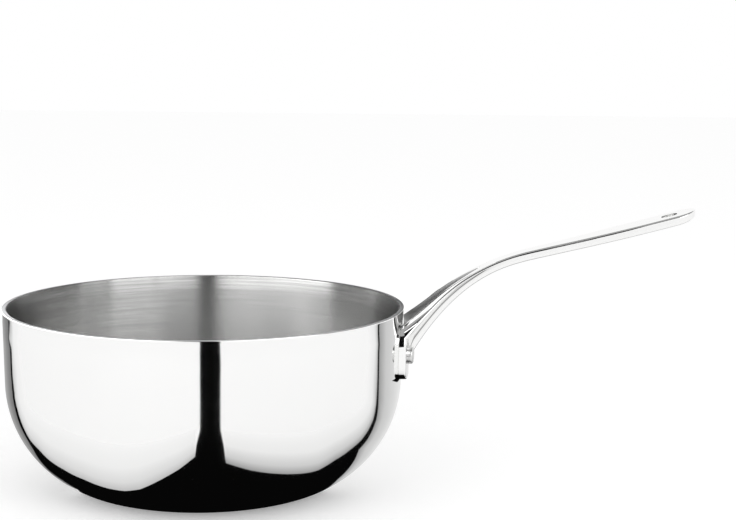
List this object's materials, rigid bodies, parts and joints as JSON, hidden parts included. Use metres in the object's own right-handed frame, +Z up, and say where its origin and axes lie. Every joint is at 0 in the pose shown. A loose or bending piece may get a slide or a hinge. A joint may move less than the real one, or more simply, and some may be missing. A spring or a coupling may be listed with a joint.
{
  "type": "saucier pan",
  "caption": "Round-bottomed saucier pan in clad steel, with a small pouring lip and a long polished cast handle riveted to its wall.",
  "frame": {"origin": "centre of the flat base, on the pan's axis", "axes": "+Z up, +X along the handle, away from the pan"},
  "size_m": [0.3432, 0.1994, 0.141],
  "materials": {
    "outer_skin": "mirror-polished stainless steel",
    "core": "bare cut edge",
    "inner_skin": "satin, brushed round the axis",
    "handle": "polished cast stainless steel, satin in the scoop",
    "rivets": "polished heads"
  },
  "bodies": {
    "root": {"outer_skin": "outer_skin", "core": "core", "inner_skin": "inner_skin", "handle": "handle", "rivets": "rivets"}
  },
  "joints": []
}
